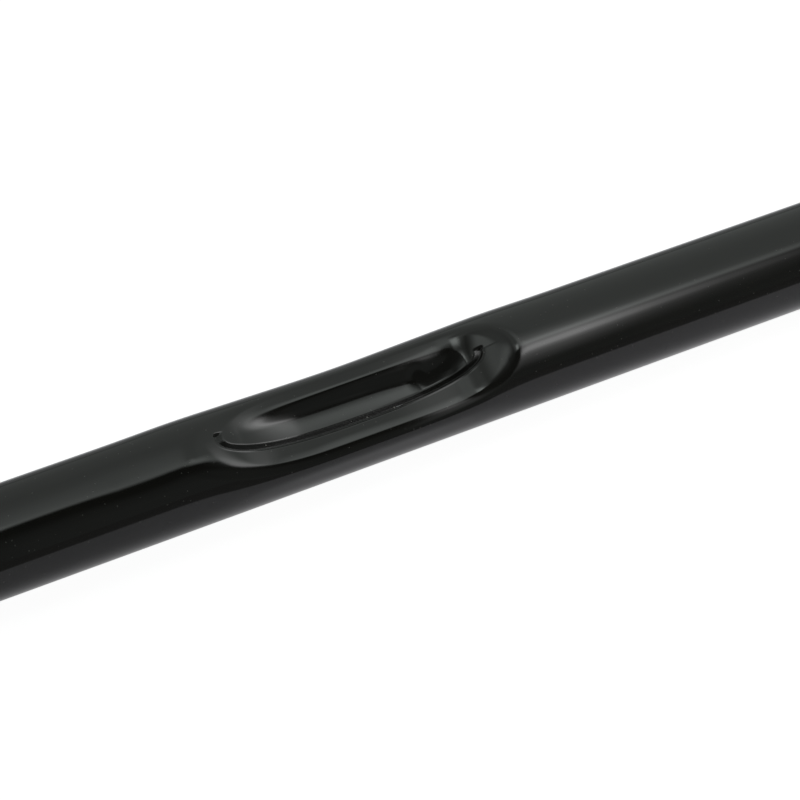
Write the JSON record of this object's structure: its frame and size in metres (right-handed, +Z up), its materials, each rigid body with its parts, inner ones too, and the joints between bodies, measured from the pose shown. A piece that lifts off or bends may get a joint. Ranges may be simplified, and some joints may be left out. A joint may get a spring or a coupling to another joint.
{
  "type": "breaker bar",
  "caption": "Long turning bar with a square drive on a hinged head, a black enamelled tube dented onto the fork's shank, and a ribbed rubber grip with an end cap.",
  "frame": {"origin": "under the middle of the bar's length, on the ground that the fork's lower ear and the end cap rest on", "axes": "X along the bar, +X from the square drive to the end cap; Y across it; +Z up, along the head's hinge"},
  "size_m": [0.61, 0.04, 0.04],
  "materials": {
    "black_enamel": "gloss",
    "chrome": "satin",
    "hard_steel": "ground",
    "spring_steel": "bright",
    "dark_steel": "black oxide",
    "black_rubber": "matte",
    "black_plastic": "satin"
  },
  "bodies": {
    "handle": {"fork": "chrome", "hinge_screw": "dark_steel", "hinge_lock_screw": "dark_steel", "thrust_washer_top": "hard_steel", "thrust_washer_bottom": "hard_steel", "friction_spring": "spring_steel", "handle_tube": "black_enamel", "grip_collar": "hard_steel", "grip_sleeve": "black_rubber", "tube_plug": "hard_steel", "end_cap": "black_plastic", "cap_screw": "dark_steel"},
    "head": {"drive_tang": "chrome", "socket_ball_spring": "spring_steel"},
    "ball": {"socket_ball": "hard_steel"},
    "plunger": {"friction_plunger": "hard_steel"}
  },
  "joints": [
    {"name": "head_swing", "type": "hinge", "parent": "handle", "child": "head", "pos_m": [-0.25, 0, 0.02], "axis": [0, 0, 1], "range_deg": [-100, 100]},
    {"name": "socket_ball_press", "type": "slide", "parent": "head", "child": "ball", "axis": [0, 0, -1], "range_m": [0, 0.0012], "stiffness_N_per_m": 4000, "springref_m": -0.001, "deforming": ["socket_ball_spring"]},
    {"name": "friction_plunger_press", "type": "slide", "parent": "handle", "child": "plunger", "axis": [1, 0, 0], "range_m": [0, 0.002], "stiffness_N_per_m": 3000, "springref_m": -0.002, "deforming": ["friction_spring"]}
  ]
}
